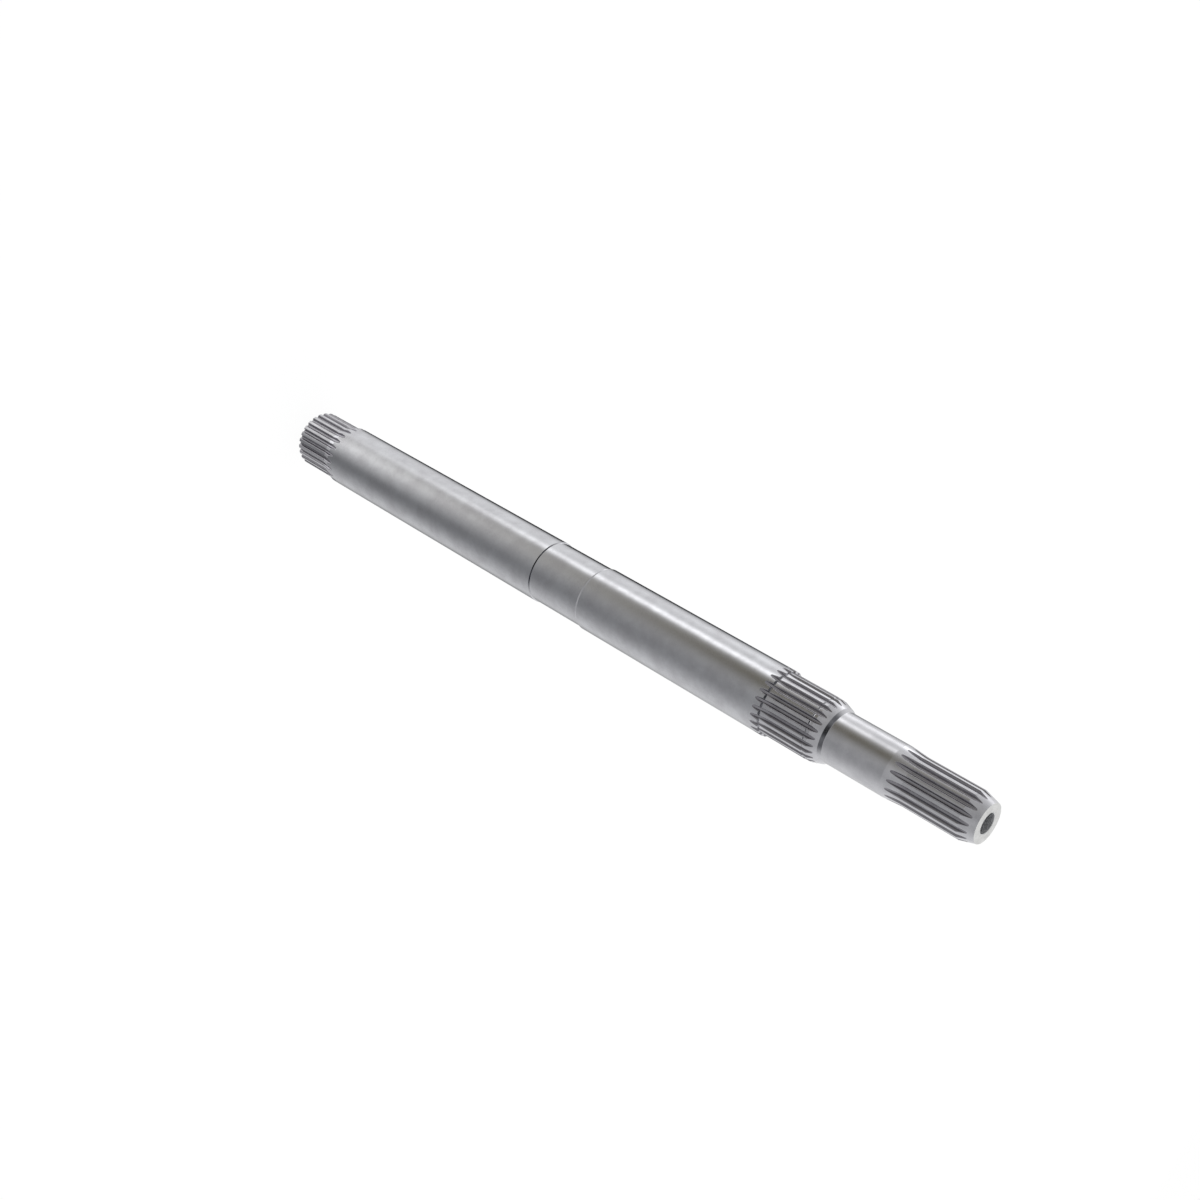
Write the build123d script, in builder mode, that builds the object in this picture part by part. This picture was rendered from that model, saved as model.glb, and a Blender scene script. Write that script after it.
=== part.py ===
import os
from math import acos, cos, degrees, pi, radians, sin, sqrt, tan

from build123d import *

# A drive shaft turned from one bar, with three involute splines cut by a hob.
# It stands on its drive end at z = 0, and +Z runs along its axis to the pilot end.
# Sizes are in millimetres and angles in degrees.

# Turned diameters, from the drive end to the pilot end
seat_d = 30.0  # the two ground bearing seats
relief_d = 29.15  # waist between the seats
band_d = 27.9  # plain band after the middle spline
shoulder_foot_d = 24.9  # small end of the cone that faces the neck
neck_d = 22.9
pilot_face_d = 17.6  # end face, inside the lead chamfer

# Lengths along the axis, in the same order
drive_spline_length = 21.2
drive_cone_length = 3.4  # rises from the tips of the drive spline to the seat
drive_seat_length = 148.2
relief_length = 30.8
middle_seat_length = 104.4
middle_spline_length = 22.0
band_length = 2.3
shoulder_length = 4.5
shoulder_hollow_length = 1.6  # hollow corner between the shoulder and the neck
neck_length = 28.3
pilot_cone_length = 8.7  # falls from the neck to the tips of the pilot spline
pilot_spline_length = 26.2
lead_length = 6.7  # lead chamfer of the pilot spline
edge_break = 0.3  # small chamfer on a sharp outer edge

# Splines: teeth, diameter over the tips, and how far the first space is turned from +X
drive_teeth = 25
drive_tip_d = 28.4
drive_clocking = 0.0
middle_teeth = 25
middle_tip_d = 28.2
middle_clocking = 180.0 / middle_teeth  # a tooth, not a space, lies on +X
pilot_teeth = 18
pilot_tip_d = 21.5
pilot_clocking = 0.0

# Tooth form, shared by the three splines. Heights are in modules.
pressure_angle = 30.0
addendum = 0.3
tooth_height = 1.05
flank_overrun = 0.15  # height to which the flanks of a space are drawn above the tips

# At its inner end each space rises out of the bar along the hob's radius, to a point.
hob_r = 25.0
drive_run_out = 7.0  # from the end of the full tips to the point
middle_run_out = 3.9
pilot_run_out = 6.6

# Holes in the end faces
bore_d = 9.1
bore_depth = 26.0
drill_angle = 118.0
centre_mouth_d = 6.3  # centre hole that carried the drive end in the lathe
centre_angle = 60.0
centre_drill_d = 2.5
centre_drill_depth = 6.0

tool_clearance = 1.0  # how far each cutting tool reaches past the bar

# Stations along the axis
drive_tips_end = drive_spline_length
drive_seat_start = drive_tips_end + drive_cone_length
relief_start = drive_seat_start + drive_seat_length
relief_end = relief_start + relief_length
middle_tips_start = relief_end + middle_seat_length
middle_tips_end = middle_tips_start + middle_spline_length
band_end = middle_tips_end + band_length
shoulder_end = band_end + shoulder_length
neck_start = shoulder_end + shoulder_hollow_length
neck_end = neck_start + neck_length
pilot_tips_start = neck_end + pilot_cone_length
pilot_tips_end = pilot_tips_start + pilot_spline_length
shaft_length = pilot_tips_end + lead_length


def involute(angle):
    return tan(angle) - angle


def tooth_module(teeth, tip_d):
    return tip_d / (teeth + 2 * addendum)


def root_radius(teeth, tip_d):
    return tip_d / 2 - tooth_height * tooth_module(teeth, tip_d)


def space_outline(teeth, tip_d, outer_r, height):
    """Face of one space between two teeth, on +X, drawn across the axis at a height.

    Each flank is the chord of its involute, and lies within 0.04 mm of it.
    """
    module = tooth_module(teeth, tip_d)
    pitch_angle = radians(pressure_angle)
    base_r = module * teeth / 2 * cos(pitch_angle)
    root_r = root_radius(teeth, tip_d)
    crest_r = tip_d / 2 + flank_overrun * module

    def half_width(radius):
        half_space = pi / (2 * teeth) + involute(acos(base_r / radius)) - involute(pitch_angle)
        return radius * sin(half_space)

    right = [
        (half_width(root_r), root_r),
        (half_width(crest_r), crest_r),
        (half_width(crest_r), outer_r),
    ]
    left = [(-x, y) for x, y in reversed(right)]
    across = Plane(origin=(0, 0, height), x_dir=(0, -1, 0), z_dir=(0, 0, 1))
    with BuildSketch(across) as outline:
        with BuildLine():
            Polyline(*right, *left, close=True)
        make_face()
    return outline.sketch


def lift_length(rise):
    """Length along the axis over which the hob lifts by a rise."""
    return sqrt(rise * (2 * hob_r - rise))


def lift_angle(rise):
    """Turn about the hob's own axis over which its edge lifts by a rise."""
    return degrees(acos(1 - rise / hob_r))


def spline_space(teeth, tip_d, outer_r, start, end, start_rise=0, end_rise=0):
    """Solid that the hob removes between start and end to leave one space.

    A rise is the height of the turned surface above the floor of the space, at the
    point where the space runs out. With no rise, the floor stays level to that end.
    """
    root_r = root_radius(teeth, tip_d)
    floor_start = start + lift_length(start_rise)
    floor_end = end - lift_length(end_rise)
    start_face = space_outline(teeth, tip_d, outer_r, floor_start)
    end_face = space_outline(teeth, tip_d, outer_r, floor_end)
    start_axis = Axis((root_r + hob_r, 0, floor_start), (0, -1, 0))
    end_axis = Axis((root_r + hob_r, 0, floor_end), (0, 1, 0))
    with BuildPart() as space:
        extrude(start_face, amount=floor_end - floor_start)
        if start_rise:
            revolve(start_face, start_axis, lift_angle(start_rise + tool_clearance))
        if end_rise:
            revolve(end_face, end_axis, lift_angle(end_rise + tool_clearance))
    return space.part


# Spaces of the drive spline: open at the end face, and running out in the seat
drive_space = spline_space(
    drive_teeth,
    drive_tip_d,
    outer_r=seat_d / 2 + tool_clearance,
    start=-tool_clearance,
    end=drive_tips_end + drive_run_out,
    end_rise=seat_d / 2 - root_radius(drive_teeth, drive_tip_d),
)

# Spaces of the middle spline: running out in the seat, and open at the shoulder
middle_space = spline_space(
    middle_teeth,
    middle_tip_d,
    outer_r=seat_d / 2 + tool_clearance,
    start=middle_tips_start - middle_run_out,
    end=neck_start,
    start_rise=seat_d / 2 - root_radius(middle_teeth, middle_tip_d),
)

# Spaces of the pilot spline: running out in the cone, and open at the end face
pilot_cone_slope = (neck_d - pilot_tip_d) / 2 / pilot_cone_length
pilot_run_out_r = pilot_tip_d / 2 + pilot_cone_slope * pilot_run_out
pilot_space = spline_space(
    pilot_teeth,
    pilot_tip_d,
    outer_r=neck_d / 2 + tool_clearance,
    start=pilot_tips_start - pilot_run_out,
    end=shaft_length + tool_clearance,
    start_rise=pilot_run_out_r - root_radius(pilot_teeth, pilot_tip_d),
)

# Each step at the waist is a 45 degree chamfer of this height.
relief_step = (seat_d - relief_d) / 2

with BuildPart() as splined_shaft:
    # The turned bar
    with BuildSketch(Plane.XZ) as bar_outline:
        with BuildLine():
            Polyline(
                (0, 0),
                (drive_tip_d / 2 - edge_break, 0),
                (drive_tip_d / 2, edge_break),
                (drive_tip_d / 2, drive_tips_end),
                (seat_d / 2, drive_seat_start),
                (seat_d / 2, relief_start),
                (relief_d / 2, relief_start + relief_step),
                (relief_d / 2, relief_end - relief_step),
                (seat_d / 2, relief_end),
                (seat_d / 2, middle_tips_start - edge_break),
                (seat_d / 2 - edge_break, middle_tips_start),
                (middle_tip_d / 2, middle_tips_start),
                (middle_tip_d / 2, middle_tips_end),
                (band_d / 2, middle_tips_end),
                (band_d / 2, band_end),
                (shoulder_foot_d / 2, shoulder_end),
            )
            TangentArc(
                (neck_d / 2, neck_start),
                (shoulder_foot_d / 2, shoulder_end),
                tangent=(0, -1),
            )
            Polyline(
                (neck_d / 2, neck_start),
                (neck_d / 2, neck_end),
                (pilot_tip_d / 2, pilot_tips_start),
                (pilot_tip_d / 2, pilot_tips_end),
                (pilot_face_d / 2, shaft_length),
                (0, shaft_length),
                (0, 0),
            )
        make_face()
    revolve(axis=Axis.Z)

    # The three splines
    with PolarLocations(0, drive_teeth, drive_clocking):
        add(drive_space, mode=Mode.SUBTRACT)
    with PolarLocations(0, middle_teeth, middle_clocking):
        add(middle_space, mode=Mode.SUBTRACT)
    with PolarLocations(0, pilot_teeth, pilot_clocking):
        add(pilot_space, mode=Mode.SUBTRACT)

    # Bore in the pilot end, with the drill's cone at its bottom
    bore_floor = shaft_length - bore_depth
    with BuildSketch(Plane.XZ) as bore_outline:
        with BuildLine():
            Polyline(
                (0, shaft_length),
                (bore_d / 2, shaft_length),
                (bore_d / 2, bore_floor),
                (0, bore_floor - bore_d / 2 / tan(radians(drill_angle / 2))),
                close=True,
            )
        make_face()
    revolve(axis=Axis.Z, mode=Mode.SUBTRACT)

    # Centre hole in the drive end
    centre_cone_depth = (centre_mouth_d - centre_drill_d) / 2 / tan(radians(centre_angle / 2))
    centre_tip_depth = centre_drill_d / 2 / tan(radians(drill_angle / 2))
    with BuildSketch(Plane.XZ) as centre_outline:
        with BuildLine():
            Polyline(
                (0, 0),
                (centre_mouth_d / 2, 0),
                (centre_drill_d / 2, centre_cone_depth),
                (centre_drill_d / 2, centre_drill_depth),
                (0, centre_drill_depth + centre_tip_depth),
                close=True,
            )
        make_face()
    revolve(axis=Axis.Z, mode=Mode.SUBTRACT)

splined_shaft.part.label = "splined_shaft"

os.makedirs("parts", exist_ok=True)
export_step(splined_shaft.part, "parts/splined_shaft.step")
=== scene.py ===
from math import acos, atan2, cos, hypot, pi, radians, sin, sqrt, tan

import bmesh
import bpy
from mathutils import Matrix, Vector


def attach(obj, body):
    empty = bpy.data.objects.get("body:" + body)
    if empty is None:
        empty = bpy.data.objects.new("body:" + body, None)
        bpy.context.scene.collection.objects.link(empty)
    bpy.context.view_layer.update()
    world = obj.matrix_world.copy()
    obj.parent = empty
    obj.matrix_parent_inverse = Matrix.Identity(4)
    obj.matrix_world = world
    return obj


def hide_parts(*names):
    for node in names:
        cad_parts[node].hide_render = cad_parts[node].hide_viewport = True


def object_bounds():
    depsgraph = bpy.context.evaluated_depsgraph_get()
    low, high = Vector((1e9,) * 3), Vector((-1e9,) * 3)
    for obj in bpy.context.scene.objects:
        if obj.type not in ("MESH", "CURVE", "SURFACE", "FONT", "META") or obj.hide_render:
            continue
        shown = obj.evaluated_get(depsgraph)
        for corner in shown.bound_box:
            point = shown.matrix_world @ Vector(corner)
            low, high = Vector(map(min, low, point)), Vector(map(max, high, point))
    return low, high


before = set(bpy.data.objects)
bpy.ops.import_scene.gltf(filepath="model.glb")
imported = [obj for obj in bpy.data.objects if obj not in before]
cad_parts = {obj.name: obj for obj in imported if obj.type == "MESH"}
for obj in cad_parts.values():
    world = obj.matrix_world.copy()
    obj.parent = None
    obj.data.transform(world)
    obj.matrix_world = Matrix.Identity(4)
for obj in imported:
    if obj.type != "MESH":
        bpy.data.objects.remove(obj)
cadLow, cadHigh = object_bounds()
mm = 0.001  # lengths are in millimetres until a mesh is made, and one Blender unit is a metre
print("frame loaded")

# The turned bar, from the drive end at z = 0 to the pilot end
bar = {
    "seatD": 30.0,
    "reliefD": 29.15,
    "bandD": 27.9,
    "shoulderFootD": 24.9,
    "neckD": 22.9,
    "pilotFaceD": 17.6,
    "driveSplineLength": 21.2,
    "driveConeLength": 3.4,
    "driveSeatLength": 148.2,
    "reliefLength": 30.8,
    "middleSeatLength": 104.4,
    "middleSplineLength": 22.0,
    "bandLength": 2.3,
    "shoulderLength": 4.5,
    "shoulderHollowLength": 1.6,  # steep corner between the shoulder and the neck
    "neckLength": 28.3,
    "pilotConeLength": 8.7,
    "pilotSplineLength": 26.2,
    "leadLength": 6.7,
    "edgeBreak": 0.3,  # chamfer on a sharp outer edge
    "reliefRamp": 0.5,  # length over which the waist rises again to the middle seat
    "grooveWidth": 0.5,  # fine grooves: at the foot of that ramp, and where the middle tips end
    "grooveDepth": 0.15,
    "stepSlope": 0.02,  # length given to a square step, so that each ring has one radius
    "nearEnd": 0.2,  # from the end of a plain stretch to its first inner ring
    "cornerRound": 0.12,  # half length of the soft corner between two turned surfaces
    "columns": 450,  # points round a plain ring: a whole number for each tooth of every spline
    "runOutRings": 16,  # rings where a space rises to its point
    "runOutEase": 1.5,  # above 1, those rings crowd towards the point
    "leaveRings": 6,  # rings where a cone or a chamfer leaves the floors of the spaces
    "leaveEase": 1.3,
    "sharpAngle": 34.0,  # edges sharper than this stay sharp
    "mergeWithin": 0.0002,  # points closer than this become one
}

# Splines: how far the first space is turned from +X, and how far each space runs out
splines = {
    "drive": {"teeth": 25, "tipD": 28.4, "clocking": 0.0, "runOut": 7.0},
    "middle": {"teeth": 25, "tipD": 28.2, "clocking": 180 / 25, "runOut": 3.9},
    "pilot": {"teeth": 18, "tipD": 21.5, "clocking": 0.0, "runOut": 6.6},
}

# Tooth form, shared by the splines. Heights are in modules.
tooth = {
    "pressureAngle": 30.0,
    "addendum": 0.3,
    "height": 1.05,
    "rootHollow": 0.1,  # how far the floor of a space dips between its flanks
    "floorBlend": 0.3,  # softness of the dip, as a share of half the floor's width
    "flankOverrun": 0.15,  # height above the tips where the flanks turn straight
    "hobR": 25.0,  # each space rises to its point along this radius
    "edgeBreak": 0.12,  # millimetres taken off the sharp edges of each space
    "edgeShare": 0.3,  # the most that is taken off, as a share of a shallow space's depth
    "leastDepth": 0.000001,
    "floorSteps": 3,
    "flankSteps": 3,
}

# Holes in the end faces
holes = {
    "boreD": 9.1,
    "boreDepth": 26.0,
    "drillAngle": 118.0,
    "centreMouthD": 6.3,
    "centreAngle": 60.0,
    "centreDrillD": 2.5,
    "centreDrillDepth": 6.0,
    "mouthBreak": 0.2,  # small chamfer round each mouth
    "faceRingD": 25.0,  # ring on the drive face, just inside the floors of the spaces
    "boreTop": 0.5,  # length of the first ring of wall under the mouth
    "boreRings": 5,
    "boreTipR": 0.3,  # small ring round the point of the drill's cone
}


def stationEnds():
    names = ["driveSpline", "driveCone", "driveSeat", "relief", "middleSeat", "middleSpline"]
    names += ["band", "shoulder", "shoulderHollow", "neck", "pilotCone", "pilotSpline", "lead"]
    found, z = {}, 0.0
    for name in names:
        z += bar[name + "Length"]
        found[name] = z
    return found


ends = stationEnds()
shaftLength = ends["lead"]


def turnedOutline():
    # (height, radius) at each corner of the turned bar, and the finish above that corner
    seatR, reliefR, bandR = bar["seatD"] / 2, bar["reliefD"] / 2, bar["bandD"] / 2
    driveR, middleR, pilotR = [splines[name]["tipD"] / 2 for name in ("drive", "middle", "pilot")]
    footR, neckR, faceR = bar["shoulderFootD"] / 2, bar["neckD"] / 2, bar["pilotFaceD"] / 2
    edge, slope, step = bar["edgeBreak"], bar["stepSlope"], seatR - reliefR
    ramp, width, depth = bar["reliefRamp"], bar["grooveWidth"], bar["grooveDepth"]
    outline = [
        (0, driveR - edge, "turned"),
        (edge, driveR, "turned"),
        (ends["driveSpline"], driveR, "turned"),
        (ends["driveCone"], seatR, "ground"),
        (ends["driveSeat"], seatR, "turned"),
        (ends["driveSeat"] + step, reliefR, "ground"),
        (ends["relief"] - ramp - width, reliefR, "turned"),
        (ends["relief"] - ramp, reliefR - 1.5 * depth, "turned"),
        (ends["relief"], seatR, "ground"),
        (ends["middleSeat"] - edge, seatR, "turned"),
        (ends["middleSeat"], seatR - edge, "turned"),
        (ends["middleSeat"] + slope, middleR, "turned"),
        (ends["middleSpline"], middleR, "turned"),
        (ends["middleSpline"] + width, bandR - depth, "turned"),
        (ends["middleSpline"] + 1.5 * width, bandR, "turned"),
        (ends["band"], bandR, "turned"),
        (ends["shoulder"], footR, "turned"),
        (ends["shoulderHollow"], neckR, "turned"),
        (ends["neck"], neckR, "turned"),
        (ends["pilotCone"], pilotR, "turned"),
        (ends["pilotSpline"], pilotR, "turned"),
        (shaftLength, faceR, "turned"),
    ]
    return outline


outline = turnedOutline()


def turnedAt(z):
    # Radius and finish of the turned bar at a height
    for (z0, r0, finish), (z1, r1, _) in zip(outline, outline[1:]):
        if z <= z1:
            return r0 + (r1 - r0) * max(z - z0, 0) / (z1 - z0), finish
    return outline[-1][1], "turned"


def toothSizes(spline):
    module = spline["tipD"] / (spline["teeth"] + 2 * tooth["addendum"])
    return {
        "module": module,
        "baseR": module * spline["teeth"] / 2 * cos(radians(tooth["pressureAngle"])),
        "rootR": spline["tipD"] / 2 - tooth["height"] * module,
        "crestR": spline["tipD"] / 2 + tooth["flankOverrun"] * module,
    }


def spacePoint(spline, s):
    # Half of the outline of a space: the floor to s = 1, the involute flank to 2, then straight up
    size = toothSizes(spline)
    footR = size["rootR"] + tooth["rootHollow"] * size["module"]

    def flankPoint(radius):
        angle = pi / (2 * spline["teeth"])
        for sign, a in ((1, acos(size["baseR"] / radius)), (-1, radians(tooth["pressureAngle"]))):
            angle += sign * (tan(a) - a)
        return radius * sin(angle), radius * cos(angle)

    if s < 1:
        x, y = flankPoint(footR)
        soft = tooth["floorBlend"]
        share = (hypot(s, soft) - soft) / (hypot(1, soft) - soft)
        return x * s, size["rootR"] + (y - size["rootR"]) * share
    if s < 2:
        return flankPoint(footR + (size["crestR"] - footR) * (s - 1))
    x, y = flankPoint(size["crestR"])
    return x, y + (s - 2) * (bar["seatD"] / 2 + 1 - y)


def liftedPoint(spline, s, past):
    # The same point where the hob has lifted, at a length past the level floor
    x, y = spacePoint(spline, s)
    centre = toothSizes(spline)["rootR"] + tooth["hobR"]
    return x, centre - sqrt((centre - y) ** 2 - past**2)


def solve(wanted, low, high):
    # The place between low and high where a rising function reaches zero
    for _ in range(40):
        middle = (low + high) / 2
        low, high = (middle, high) if wanted(middle) < 0 else (low, middle)
    return (low + high) / 2


def liftLength(spline, z):
    # Length along the axis over which a space rises to its point at z
    rise = turnedAt(z)[0] - toothSizes(spline)["rootR"]
    return sqrt(rise * (2 * tooth["hobR"] - rise))


def toothedRing(spline, z, past):
    # Radius and angle of each point of one pitch, and the number of points in its space
    r = turnedAt(z)[0]
    pitch = 2 * pi / spline["teeth"]
    floorR = hypot(*liftedPoint(spline, 0, past))
    floorSteps, flankSteps = tooth["floorSteps"], tooth["flankSteps"]
    half = []
    if floorR < r - tooth["leastDepth"]:
        edge = solve(lambda s: hypot(*liftedPoint(spline, s, past)) - r, 0, 3)
        cut = min(tooth["edgeBreak"], tooth["edgeShare"] * (r - floorR))
        low = solve(lambda s: hypot(*liftedPoint(spline, s, past)) - (r - cut), 0, edge)
        foot = min(1, low)
        steps = [foot * k / floorSteps for k in range(1, floorSteps + 1)]
        steps += [foot + (low - foot) * k / flankSteps for k in range(1, flankSteps + 1)]
        for s in steps:
            x, y = liftedPoint(spline, s, past)
            half.append((hypot(x, y), atan2(x, y)))
        x, y = liftedPoint(spline, edge, past)
        half.append((r, atan2(x, y) + cut / r))
    else:  # no space here: its points meet in one
        floorR = r
        half = [(r, 0.0)] * (floorSteps + flankSteps + 1)
    points = [(pr, -a) for pr, a in reversed(half)] + [(floorR, 0.0)] + half
    inSpace = len(points) - 1
    crestSteps = bar["columns"] // spline["teeth"]
    start, width = half[-1][1], pitch - 2 * half[-1][1]
    points += [(r, start + width * k / crestSteps) for k in range(1, crestSteps)]
    return points, inSpace


def fullRing(spline, z, past):
    points, inSpace = toothedRing(spline, z, past)
    ring = []
    for k in range(spline["teeth"]):
        turn = radians(spline["clocking"]) + 2 * pi * k / spline["teeth"]
        ring += [(r, turn + angle, z) for r, angle in points]
    marks = [j < inSpace for j in range(len(points))] * spline["teeth"]
    return ring, marks


def plainRing(z, r):
    step = 2 * pi / bar["columns"]
    return [(r, k * step, z) for k in range(bar["columns"])]


def heights(start, end, steps, ease=1.0):
    # Heights from start to end, closer together near the start when ease is above 1
    return [start + (end - start) * (k / steps) ** ease for k in range(steps + 1)]


def cornerHeights(low, high):
    # Heights of the rings that the turned corners need between low and high
    found = [low, high]
    soft = bar["cornerRound"]
    for z, _, _ in outline:
        for near in (z - soft, z, z + soft):
            if low < near < high and not (near != z and tightCorner(near)):
                found.append(near)
    return found


def tightCorner(z):
    # Whether a ring at z would crowd the rings of a step or of the hollow
    near = [abs(z - other) for other, _, _ in outline]
    return sorted(near)[1] < 2.5 * bar["cornerRound"]


def tidyHeights(values):
    # The heights in order, without those that crowd the one before
    kept = []
    for z in sorted(values):
        if not kept or z - kept[-1] > 0.4 * bar["stepSlope"]:
            kept.append(z)
    return kept


class ShaftSkin:
    # Rings of points joined by faces, each face with a finish
    def __init__(self):
        self.mesh = bmesh.new()
        # The bored finish carries painted light: its pale colour lifts the shade inside the holes
        # The hobbed finish carries painted shade: its darker colour stands for the shade between the
        # teeth
        self.finishes = ["ground", "turned", "hobbedAndShaded", "faced", "boredAndLightened"]

    def ring(self, points):
        return [self.mesh.verts.new((r * mm * cos(a), r * mm * sin(a), z * mm)) for r, a, z in points]

    def join(self, low, high, finish, marks=None):
        count = len(low)
        for j in range(count):
            k = (j + 1) % count
            face = self.mesh.faces.new((low[j], low[k], high[k], high[j]))
            # Faces inside a space take the hobbed finish, whose darker colour is painted shade
            name = "hobbedAndShaded" if marks and marks[j] else finish
            face.material_index = self.finishes.index(name)
            face.smooth = True


def toothedStretch(skin, spline, zs, pasts):
    # Rings of a spline, with the finish of the bar on its crests. Gives back the first ring.
    previous = None
    for z, past in zip(zs, pasts):
        points, marks = fullRing(spline, z, past)
        current = skin.ring(points)
        if previous:
            skin.join(previous[0], current, turnedAt((previous[1] + z) / 2)[1], marks)
        else:
            first = (current, points)
        previous = (current, z)
    return first


def plainStretch(skin, start, end):
    # Rings of the plain bar. One close to each end keeps the shading of the teeth out of it.
    near = bar["nearEnd"]
    previous = None
    for z in tidyHeights(cornerHeights(start, end) + [start + near, end - near]):
        current = skin.ring(plainRing(z, turnedAt(z)[0]))
        if previous:
            skin.join(previous[0], current, turnedAt((previous[1] + z) / 2)[1])
        previous = (current, z)
    return previous[0]


# Where the spaces run out to a point
points = {
    "drive": ends["driveSpline"] + splines["drive"]["runOut"],
    "middle": ends["middleSeat"] - splines["middle"]["runOut"],
    "pilot": ends["pilotCone"] - splines["pilot"]["runOut"],
}


def leaveHeights(spline, z0, z1):
    # Heights where the falling surface between z0 and z1 reaches the foot of the flanks,
    # and then the floor of the spaces
    size = toothSizes(spline)
    footR = size["rootR"] + tooth["rootHollow"] * size["module"]
    return [solve(lambda z: r - turnedAt(z)[0], z0, z1) for r in (footR, size["rootR"])]


def splineHeights(start, end, point, level):
    # Heights for a spline between start and end, whose floors are level from level on
    lifting = heights(point, level, bar["runOutRings"], bar["runOutEase"])
    return cornerHeights(start, end) + lifting


def buildShaft():
    skin = ShaftSkin()
    drive, middle, pilot = splines["drive"], splines["middle"], splines["pilot"]

    # Drive spline, from the end face to the points of its spaces
    point = points["drive"]
    level = point - liftLength(drive, point)
    zs = tidyHeights(splineHeights(0, point, point, level))
    ringVerts, ringPoints = toothedStretch(skin, drive, zs, [max(z - level, 0) for z in zs])

    # Seats and waist
    plainStretch(skin, point, points["middle"])

    # Middle spline, to where the shoulder's cone leaves its floors
    point = points["middle"]
    near, out = leaveHeights(middle, ends["band"], ends["shoulder"])
    level = point + liftLength(middle, point)
    leaving = heights(out, near, bar["leaveRings"], bar["leaveEase"])
    zs = tidyHeights(splineHeights(point, out, point, level) + leaving)
    toothedStretch(skin, middle, zs, [max(level - z, 0) for z in zs])

    # Shoulder and neck
    plainStretch(skin, out, points["pilot"])

    # Pilot spline, to where the lead chamfer leaves its floors
    point = points["pilot"]
    near, out = leaveHeights(pilot, ends["pilotSpline"], ends["lead"])
    level = point + liftLength(pilot, point)
    leaving = heights(out, near, bar["leaveRings"], bar["leaveEase"])
    zs = tidyHeights(splineHeights(point, out, point, level) + leaving)
    toothedStretch(skin, pilot, zs, [max(level - z, 0) for z in zs])
    lastRing = plainStretch(skin, out, shaftLength)

    # Pilot face and bore
    boreR, rim = holes["boreD"] / 2, holes["mouthBreak"]
    floor = shaftLength - holes["boreDepth"]
    tip = floor - boreR / tan(radians(holes["drillAngle"] / 2))
    # Bore walls take the bored finish, whose pale colour is painted light
    rings = [(boreR + rim, shaftLength, "faced"), (boreR, shaftLength - rim, "boredAndLightened")]
    wallTop = shaftLength - rim - holes["boreTop"]
    rings += [(boreR, z, "boredAndLightened") for z in heights(wallTop, floor, holes["boreRings"])]
    tipR = holes["boreTipR"]
    tipTop = tip + tipR / tan(radians(holes["drillAngle"] / 2))
    rings += [(tipR, tipTop, "boredAndLightened"), (0, tip, "boredAndLightened")]
    for r, z, finish in rings:
        current = skin.ring(plainRing(z, r))
        skin.join(lastRing, current, finish)
        lastRing = current

    # Drive face and centre hole
    mouthR, drillR = holes["centreMouthD"] / 2, holes["centreDrillD"] / 2
    coneDepth = (mouthR - drillR) / tan(radians(holes["centreAngle"] / 2))
    depth = holes["centreDrillDepth"]
    tip = depth + drillR / tan(radians(holes["drillAngle"] / 2))
    rings = [(holes["faceRingD"] / 2, 0, "faced"), (mouthR + rim, 0, "faced")]
    # The centre hole takes the bored finish, whose pale colour is painted light
    rings += [(mouthR, rim, "boredAndLightened"), (drillR, coneDepth, "boredAndLightened")]
    rings += [(drillR, depth, "boredAndLightened"), (0, tip, "boredAndLightened")]
    lastRing = ringVerts
    for r, z, finish in rings:
        current = skin.ring([(r, angle, z) for _, angle, _ in ringPoints])
        skin.join(lastRing, current, finish)
        lastRing = current

    bmesh.ops.remove_doubles(skin.mesh, verts=skin.mesh.verts, dist=bar["mergeWithin"] * mm)
    bmesh.ops.recalc_face_normals(skin.mesh, faces=skin.mesh.faces)
    loose = [e for e in skin.mesh.edges if not e.is_manifold]
    mesh = bpy.data.meshes.new("splinedShaftSkin")
    skin.mesh.to_mesh(mesh)
    skin.mesh.free()
    mesh.set_sharp_from_angle(angle=radians(bar["sharpAngle"]))
    shaft = bpy.data.objects.new("splined_shaft_finish", mesh)
    bpy.context.scene.collection.objects.link(shaft)
    print("shaft skin:", len(mesh.polygons), "faces,", len(loose), "open edges")
    return shaft, skin.finishes


shaft, finishNames = buildShaft()


# Materials

def linearColour(hexCode):
    values = [int(hexCode[k : k + 2], 16) / 255 for k in (1, 3, 5)]
    lin = [v / 12.92 if v <= 0.04045 else ((v + 0.055) / 1.055) ** 2.4 for v in values]
    return (*lin, 1)


def addNode(tree, kind, settings=None, links=None):
    # Adds a node. A setting or a link goes to an input socket by its name or number.
    node = tree.nodes.new(kind)
    for key, value in (settings or {}).items():
        if isinstance(key, int) or key in node.inputs:
            node.inputs[key].default_value = value
        else:
            setattr(node, key, value)
    for key, source in (links or {}).items():
        tree.links.new(source, node.inputs[key])
    return node


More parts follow.
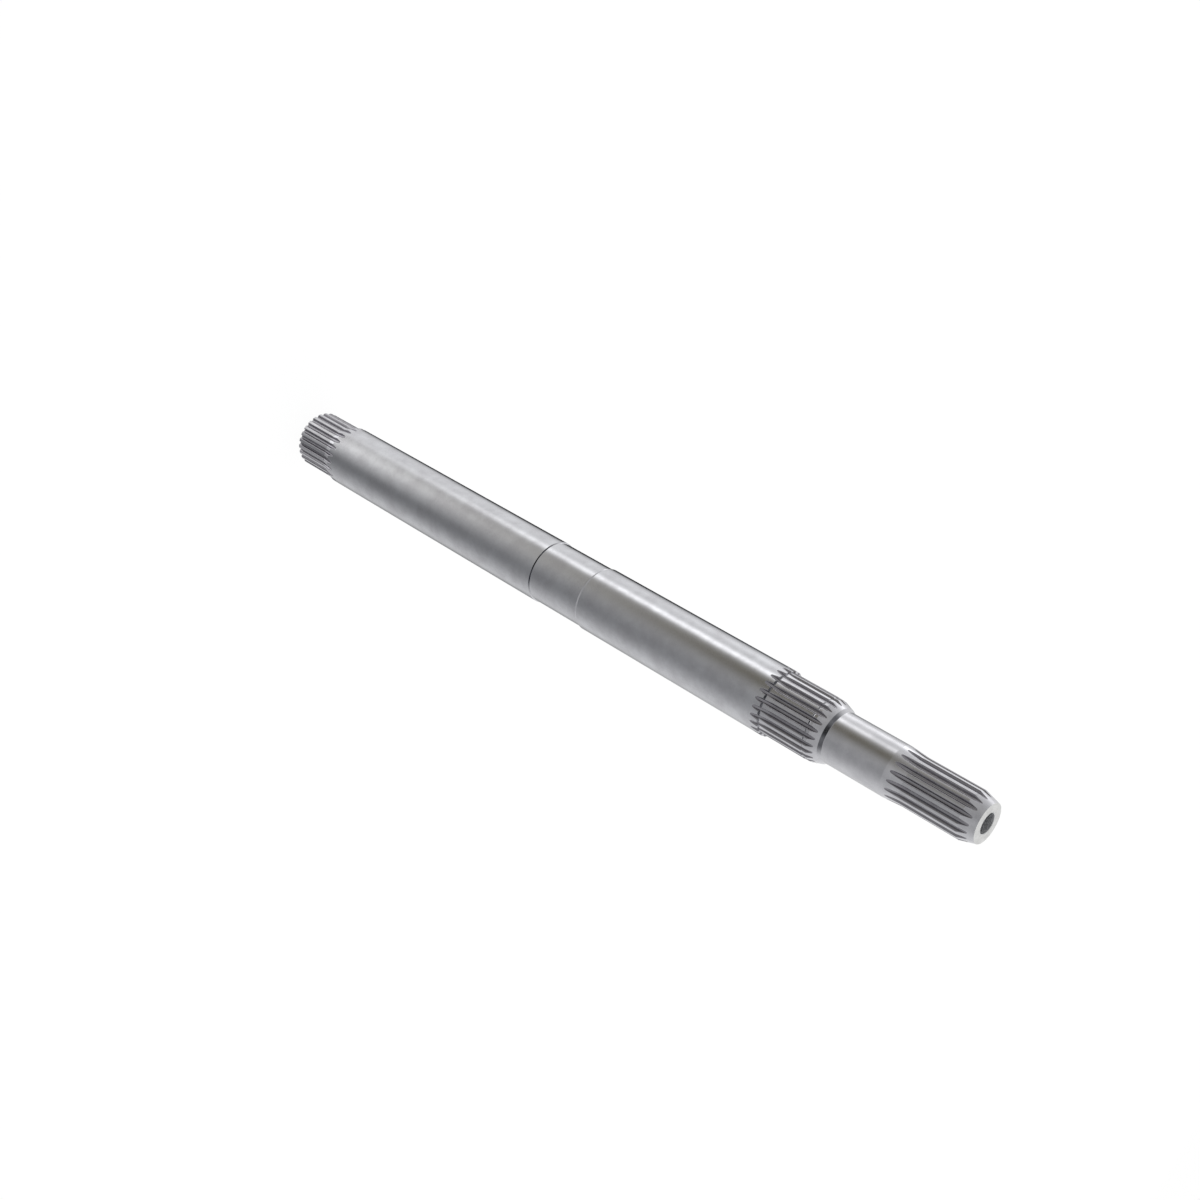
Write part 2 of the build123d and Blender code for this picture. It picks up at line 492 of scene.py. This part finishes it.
# What a steel finish is made of. Each length is in millimetres.
steelLooks = {
    # Alloy steel, ground between centres: smooth, with fine rings round it that smear light
    # along the shaft, and faint cloudy marks of handling and coolant
    "ground": {
        "light": "#C7C8CC", "dark": "#B9B9BD", "rough": 0.15, "roughSpread": 0.04,
        "anisotropy": 0.5, "ringPitch": 0.5, "ringDepth": 0.0004, "clouds": 8.0,
    },
    # The same steel, turned: the tool's feed leaves rings that show as a soft sheen
    "turned": {
        "light": "#C8C8CC", "dark": "#BCBCC0", "rough": 0.19, "roughSpread": 0.04,
        "anisotropy": 0.4, "ringPitch": 0.45, "ringDepth": 0.0012, "clouds": 7.0,
    },
    # Hobbed spaces: duller, with scallops across them from the hob's feed. Their darker colour is
    # painted shade, standing for the shade that falls between the teeth
    "hobbedAndShaded": {
        "light": "#9A999E", "dark": "#918F95", "rough": 0.28, "roughSpread": 0.03,
        "anisotropy": 0.0, "ringPitch": 0.9, "ringDepth": 0.0003, "clouds": 5.0,
    },
    # Faced ends: a pale, even, matte bloom
    "faced": {
        "light": "#D8D8D7", "dark": "#CACAC9", "rough": 0.42, "roughSpread": 0.05,
        "anisotropy": 0.0, "ringPitch": 0.5, "ringDepth": 0.0012, "clouds": 4.0,
    },
    # Drilled and bored walls: dull. Their colour is paler than the outer steel: painted light that
    # lifts the shade inside the holes
    "boredAndLightened": {
        "light": "#E8E9EA", "dark": "#D6D7D9", "rough": 0.62, "roughSpread": 0.08,
        "anisotropy": 0.0, "ringPitch": 0.6, "ringDepth": 0.003, "clouds": 3.0,
    },
}


# Noise that every finish shares
steelPattern = {
    "cloudDetail": 5.0,
    "cloudRoughness": 0.62,
    "tintRange": (0.36, 0.64),  # part of the clouds that goes from the dark to the light colour
    "roughRange": (0.3, 0.7),
    "ringDetail": 3.0,
    "ringRoughness": 0.6,
    "ringStretch": 60.0,  # how much longer the rings' noise is across the shaft than along it
    "ringRange": 4.0,  # the noise uses about a quarter of its range
}


def makeSteel(name, look):
    material = bpy.data.materials.new(name)
    material.use_nodes = True
    tree = material.node_tree
    tree.nodes.clear()
    output = addNode(tree, "ShaderNodeOutputMaterial")
    place = addNode(tree, "ShaderNodeTexCoord").outputs["Object"]

    # Clouds change the colour and the roughness a little
    settings = {"Scale": 1 / (look["clouds"] * mm), "Detail": steelPattern["cloudDetail"],
                "Roughness": steelPattern["cloudRoughness"]}
    clouds = addNode(tree, "ShaderNodeTexNoise", settings, {"Vector": place}).outputs["Fac"]
    low, high = steelPattern["tintRange"]
    share = addNode(tree, "ShaderNodeMapRange", {"From Min": low, "From Max": high},
                    {"Value": clouds})
    settings = {"data_type": "RGBA", 6: linearColour(look["dark"]), 7: linearColour(look["light"])}
    tint = addNode(tree, "ShaderNodeMix", settings, {0: share.outputs["Result"]})
    low, high = steelPattern["roughRange"]
    settings = {"From Min": low, "From Max": high, "To Min": look["rough"] + look["roughSpread"],
                "To Max": look["rough"] - look["roughSpread"]}
    rough = addNode(tree, "ShaderNodeMapRange", settings, {"Value": clouds})

    # Tool rings: noise drawn out across the shaft, so it changes along the axis only.
    # Real rings are finer than can show, so they are drawn as coarse as they need to be.
    pitch = 1 / (look["ringPitch"] * mm)
    across = pitch / steelPattern["ringStretch"]
    stretch = addNode(tree, "ShaderNodeVectorMath",
                      {"operation": "MULTIPLY", 1: (across, across, pitch)}, {0: place})
    settings = {"Scale": 1.0, "Detail": steelPattern["ringDetail"],
                "Roughness": steelPattern["ringRoughness"]}
    rings = addNode(tree, "ShaderNodeTexNoise", settings, {"Vector": stretch.outputs["Vector"]})
    depth = look["ringDepth"] * mm * steelPattern["ringRange"]
    bump = addNode(tree, "ShaderNodeBump", {"Strength": 1.0, "Distance": depth},
                   {"Height": rings.outputs["Fac"]})

    settings = {"Metallic": 1.0, "Anisotropic": look["anisotropy"], "Anisotropic Rotation": 0.25}
    links = {"Base Color": tint.outputs[2], "Roughness": rough.outputs["Result"],
             "Normal": bump.outputs["Normal"]}
    if look["anisotropy"]:
        tangent = addNode(tree, "ShaderNodeTangent", {"direction_type": "RADIAL", "axis": "Z"})
        links["Tangent"] = tangent.outputs[0]
    steel = addNode(tree, "ShaderNodeBsdfPrincipled", settings, links)
    tree.links.new(steel.outputs[0], output.inputs["Surface"])
    return material


for finish in finishNames:
    shaft.data.materials.append(makeSteel(finish + "Steel", steelLooks[finish]))
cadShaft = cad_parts["splined_shaft"]
cadShaft.data.materials.clear()
cadShaft.data.materials.append(shaft.data.materials[0])
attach(shaft, "root")
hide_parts("splined_shaft")
print("materials done")


# Camera: level with the middle of the shaft, seen along a corner of a cube, and rolled
camera = {
    "azimuth": -45.4,  # direction from the shaft to the camera, from +X
    "elevation": 35.264,
    "aimHeight": 203.6,
    "distance": 733.9,
    "focalLength": 49.455,
    "roll": 30.0,  # below the horizontal, where the pilot end points in the picture
    "sensorWidth": 36.0,
    "clipEnd": 20000.0,
}


def placeCamera():
    data = bpy.data.cameras.new("camera")
    data.lens = camera["focalLength"]
    data.sensor_width = camera["sensorWidth"]
    data.clip_end = camera["clipEnd"] * mm
    eye = bpy.data.objects.new("camera", data)
    bpy.context.scene.collection.objects.link(eye)
    azimuth, elevation, roll = [radians(camera[k]) for k in ("azimuth", "elevation", "roll")]
    back = Vector((cos(elevation) * cos(azimuth), cos(elevation) * sin(azimuth), sin(elevation)))
    axis = Vector((0, 0, 1))
    along = (axis - back * axis.dot(back)).normalized()
    across = back.cross(along)
    right = cos(roll) * along + sin(roll) * across
    up = back.cross(right)
    spot = axis * camera["aimHeight"] * mm + back * camera["distance"] * mm
    turn = Matrix((right, up, back)).transposed().to_4x4()
    eye.matrix_world = Matrix.Translation(spot) @ turn
    bpy.context.scene.camera = eye


placeCamera()


# Studio: a white room with soft boxes and grey flags round the shaft, kept out of the picture.
# Each has a direction (azimuth from the camera, elevation), a sharpness and a strength.
studio = {
    "white": 1.0,
    "least": 0.02,  # flags darken the room to this at most
    "softBoxes": [
        (-70.5, -31, 78, 1.25),
        (-94, -43, 20, 0.14),
        (10, -54, 60, 0.2),
        (-113, -14, 50, 1.44),
        (-29, -60, 20, 1.78),
    ],
    "warmFlags": [
        (-35, -28, 7.5, -0.725),
    ],
    "coolFlags": [
        (40, -50, 3.3, -0.71),
        (-159, -37, 26, -1.15),
        (158, -40, 30, -0.55),
        (0, 42, 7, -0.95),
        (70, 38, 8, -0.8),
        (-70, 38, 8, -0.8),
        (0, 90, 6, -0.4),
    ],
    "warmTint": (1.0, 1.02, 1.07),  # how much red, green and blue a flag takes
    "coolTint": (1.04, 1.035, 1.025),
    "floorR": 3000.0,
    "boardColour": "#F2F2F2",
    "boardGlow": 1.07,
    "glowShare": 0.9,  # share of the board's white that is its own, and takes no shadow
    "lampPower": 2.0,
    "lampSize": 900.0,
    "lampPlace": (-200.0, 700.0, 1550.0),
}


def lightRoom():
    world = bpy.data.worlds.new("studio")
    bpy.context.scene.world = world
    world.use_nodes = True
    tree = world.node_tree
    tree.nodes.clear()
    output = addNode(tree, "ShaderNodeOutputWorld")
    toward = addNode(tree, "ShaderNodeTexCoord").outputs["Generated"]
    totals = {}
    for kind in ("softBoxes", "warmFlags", "coolFlags"):
        total = None
        for azimuth, elevation, sharpness, strength in studio[kind]:
            a, e = radians(azimuth + camera["azimuth"]), radians(elevation)
            place = (cos(e) * cos(a), cos(e) * sin(a), sin(e))
            facing = addNode(tree, "ShaderNodeVectorMath",
                             {"operation": "DOT_PRODUCT", 1: place}, {0: toward})
            falloff = addNode(tree, "ShaderNodeMath",
                              {"operation": "MULTIPLY_ADD", 1: sharpness, 2: -sharpness},
                              {0: facing.outputs["Value"]})
            glow = addNode(tree, "ShaderNodeMath", {"operation": "EXPONENT"},
                           {0: falloff.outputs[0]})
            part = addNode(tree, "ShaderNodeMath", {"operation": "MULTIPLY", 1: strength},
                           {0: glow.outputs[0]}).outputs[0]
            if total:
                part = addNode(tree, "ShaderNodeMath", {"operation": "ADD"},
                               {0: total, 1: part}).outputs[0]
            total = part
        totals[kind] = total
    room = addNode(tree, "ShaderNodeCombineXYZ", {}, {k: totals["softBoxes"] for k in range(3)})
    for kind, tint in (("warmFlags", "warmTint"), ("coolFlags", "coolTint")):
        tinted = addNode(tree, "ShaderNodeVectorMath",
                         {"operation": "SCALE", 0: studio[tint]}, {"Scale": totals[kind]})
        room = addNode(tree, "ShaderNodeVectorMath", {"operation": "ADD"},
                       {0: room.outputs[0], 1: tinted.outputs[0]})
    hidden = addNode(tree, "ShaderNodeMath", {"operation": "SUBTRACT", 0: 1.0},
                     {1: addNode(tree, "ShaderNodeLightPath").outputs["Is Camera Ray"]})
    shown = addNode(tree, "ShaderNodeVectorMath", {"operation": "SCALE"},
                    {0: room.outputs[0], "Scale": hidden.outputs[0]})
    total = addNode(tree, "ShaderNodeVectorMath",
                    {"operation": "ADD", 1: (studio["white"],) * 3}, {0: shown.outputs[0]})
    least = addNode(tree, "ShaderNodeVectorMath",
                    {"operation": "MAXIMUM", 1: (studio["least"],) * 3}, {0: total.outputs[0]})
    back = addNode(tree, "ShaderNodeBackground", {"Strength": 1.0}, {"Color": least.outputs[0]})
    tree.links.new(back.outputs[0], output.inputs["Surface"])


def addLamp():
    data = bpy.data.lights.new("ceilingPanel", "AREA")
    data.shape = "DISK"
    data.size = studio["lampSize"] * mm
    data.energy = studio["lampPower"]
    lamp = bpy.data.objects.new("ceilingPanel", data)
    bpy.context.scene.collection.objects.link(lamp)
    spot = Vector(studio["lampPlace"]) * mm
    aim = Vector((0, 0, camera["aimHeight"] * mm))
    turn = (spot - aim).to_track_quat("Z", "Y").to_matrix().to_4x4()
    lamp.matrix_world = Matrix.Translation(spot) @ turn


def layFloor():
    mesh = bpy.data.meshes.new("studioFloor")
    form = bmesh.new()
    bmesh.ops.create_circle(form, cap_ends=True, segments=64, radius=studio["floorR"] * mm)
    form.to_mesh(mesh)
    form.free()
    floor = bpy.data.objects.new("studioFloor", mesh)
    floor.location.z = cadLow.z
    bpy.context.scene.collection.objects.link(floor)
    # White board that takes a faint shadow, and that the camera sees as white as the room
    material = bpy.data.materials.new("whiteBoard")
    material.use_nodes = True
    tree = material.node_tree
    tree.nodes.clear()
    output = addNode(tree, "ShaderNodeOutputMaterial")
    paint = addNode(tree, "ShaderNodeBsdfDiffuse", {"Color": linearColour(studio["boardColour"])})
    glow = addNode(tree, "ShaderNodeEmission", {"Strength": studio["boardGlow"]})
    mixed = addNode(tree, "ShaderNodeMixShader", {0: studio["glowShare"]},
                    {1: paint.outputs[0], 2: glow.outputs[0]})
    tree.links.new(mixed.outputs[0], output.inputs["Surface"])
    mesh.materials.append(material)
    floor.visible_glossy = False
    floor.visible_shadow = False


lightRoom()
addLamp()
layFloor()
bpy.context.scene.view_settings.view_transform = "Standard"
print("studio and camera set")
